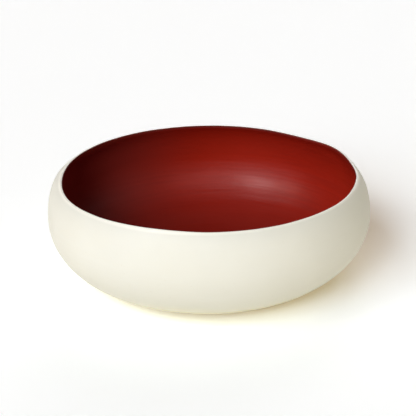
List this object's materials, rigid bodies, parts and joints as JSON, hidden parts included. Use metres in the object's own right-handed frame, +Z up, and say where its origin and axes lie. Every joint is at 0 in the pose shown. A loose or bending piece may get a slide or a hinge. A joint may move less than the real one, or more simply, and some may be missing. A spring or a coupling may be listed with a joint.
{
  "type": "papier-mache bowl",
  "caption": "Round papier-mache bowl with an incurved rim, cream outside and red lacquered inside, built of pasted paper strips, bands and a bound edge, for holding dry things.",
  "frame": {"origin": "centre of the underside of the foot disc, on the surface that the bowl stands on", "axes": "+Z up along the bowl's axis; -Y towards the viewer of the picture, +X to the viewer's right"},
  "size_m": [0.3051, 0.305, 0.1027],
  "materials": {
    "cream_paint": "hand-brushed cream paint film, soft satin",
    "red_lacquer": "dark red lacquer, satin, faint brush streaks",
    "pasted_paper": "raw pasted paper pulp and strips",
    "foot_paper": "unpainted heavy paper, rubbed"
  },
  "bodies": {
    "root": {"cream_coat": "cream_paint", "red_lining": "red_lacquer", "rim_binding": "pasted_paper", "outer_strip_01": "pasted_paper", "outer_strip_02": "pasted_paper", "outer_strip_03": "pasted_paper", "outer_strip_04": "pasted_paper", "outer_strip_05": "pasted_paper", "outer_strip_06": "pasted_paper", "outer_strip_07": "pasted_paper", "outer_strip_08": "pasted_paper", "outer_strip_09": "pasted_paper", "outer_strip_10": "pasted_paper", "outer_strip_11": "pasted_paper", "outer_strip_12": "pasted_paper", "inner_strip_01": "pasted_paper", "inner_strip_02": "pasted_paper", "inner_strip_03": "pasted_paper", "inner_strip_04": "pasted_paper", "inner_strip_05": "pasted_paper", "inner_strip_06": "pasted_paper", "inner_strip_07": "pasted_paper", "inner_strip_08": "pasted_paper", "inner_strip_09": "pasted_paper", "inner_strip_10": "pasted_paper", "inner_strip_11": "pasted_paper", "inner_strip_12": "pasted_paper", "hoop_band_1": "pasted_paper", "hoop_band_2": "pasted_paper", "hoop_band_3": "pasted_paper", "hoop_band_4": "pasted_paper", "hoop_band_5": "pasted_paper", "base_core": "pasted_paper", "outer_patch": "pasted_paper", "inner_patch": "pasted_paper", "foot_disc": "foot_paper"}
  },
  "joints": []
}
